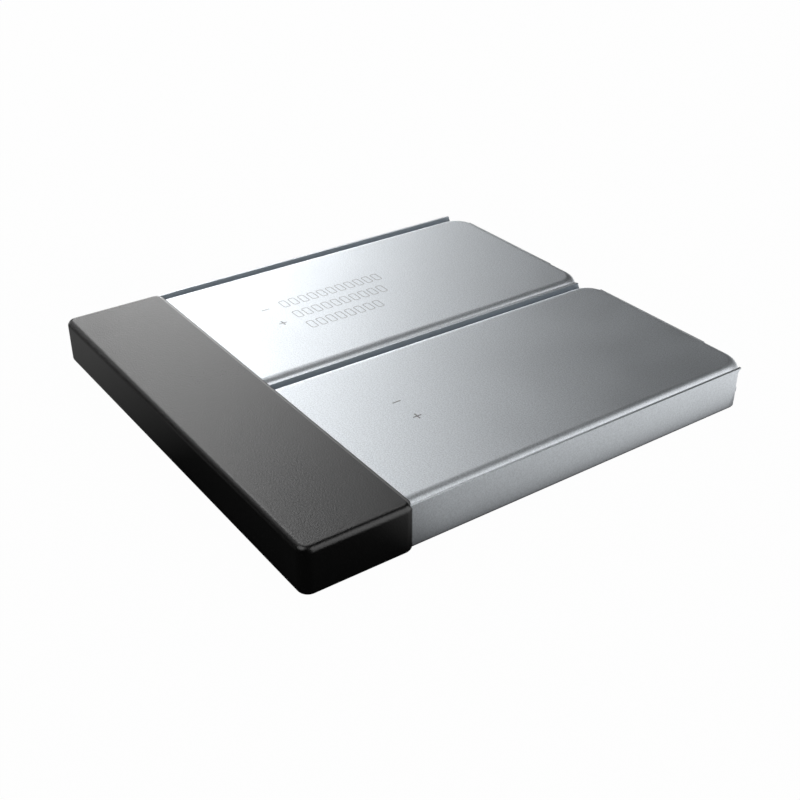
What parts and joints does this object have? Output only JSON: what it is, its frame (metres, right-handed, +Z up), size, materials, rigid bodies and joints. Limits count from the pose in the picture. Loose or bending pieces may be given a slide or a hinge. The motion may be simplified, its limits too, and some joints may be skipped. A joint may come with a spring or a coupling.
{
  "type": "pouch battery pack",
  "caption": "Flat rechargeable battery pack: silver laminate pouch cells side by side, their tab ends under one black push-on end cap with a protection board inside.",
  "frame": {"origin": "middle of the underside of the pack's box", "axes": "+X across the pack, towards the cell that is near in the picture; +Y along the cells, away from the end cap; +Z up through the printed faces"},
  "size_m": [0.089, 0.0968, 0.0089],
  "materials": {
    "laminate": "satin aluminium laminate",
    "base_laminate": "satin aluminium laminate, folded",
    "electrode": "dark coated foil",
    "separator": "white polymer film",
    "closing_tape": "green polymer tape",
    "aluminium_tab": "rolled",
    "nickel": "rolled nickel",
    "tab_sealant": "milky polymer strip",
    "bond_tape": "double-sided tape",
    "cap_plastic": "satin moulded black",
    "paper": "insulating paper",
    "carrier_plastic": "moulded",
    "board": "solder resist on glass laminate",
    "chip_epoxy": "moulded epoxy",
    "shunt_metal": "rolled alloy",
    "resistor": "glazed ceramic",
    "capacitor": "ceramic",
    "bead": "dipped epoxy",
    "fuse_body": "moulded",
    "block_plastic": "moulded",
    "gold": "gold plated",
    "foam": "closed-cell foam"
  },
  "bodies": {
    "pack": {"left_cell_cup": "laminate", "left_cell_base": "base_laminate", "left_cell_roll": "electrode", "left_cell_separator": "separator", "left_roll_tape": "closing_tape", "left_positive_tab": "aluminium_tab", "left_negative_tab": "nickel", "left_positive_tab_seal": "tab_sealant", "left_negative_tab_seal": "tab_sealant", "right_cell_cup": "laminate", "right_cell_base": "base_laminate", "right_cell_roll": "electrode", "right_cell_separator": "separator", "right_roll_tape": "closing_tape", "right_positive_tab": "aluminium_tab", "right_negative_tab": "nickel", "right_positive_tab_seal": "tab_sealant", "right_negative_tab_seal": "tab_sealant", "cell_bond_tape": "bond_tape", "tab_insulator": "paper", "board_carrier": "carrier_plastic", "protection_board": "board", "weld_pads": "nickel", "power_mosfets": "chip_epoxy", "protection_chips": "chip_epoxy", "current_shunt": "shunt_metal", "chip_resistors": "resistor", "chip_capacitors": "capacitor", "thermistor": "bead", "thermal_fuse": "fuse_body", "contact_block": "block_plastic", "contact_blades": "gold", "board_pad": "foam"},
    "cap": {"end_cap": "cap_plastic"}
  },
  "joints": [
    {"name": "cap_slide", "type": "slide", "parent": "pack", "child": "cap", "axis": [0, -1, 0], "range_m": [0, 0.025]}
  ]
}
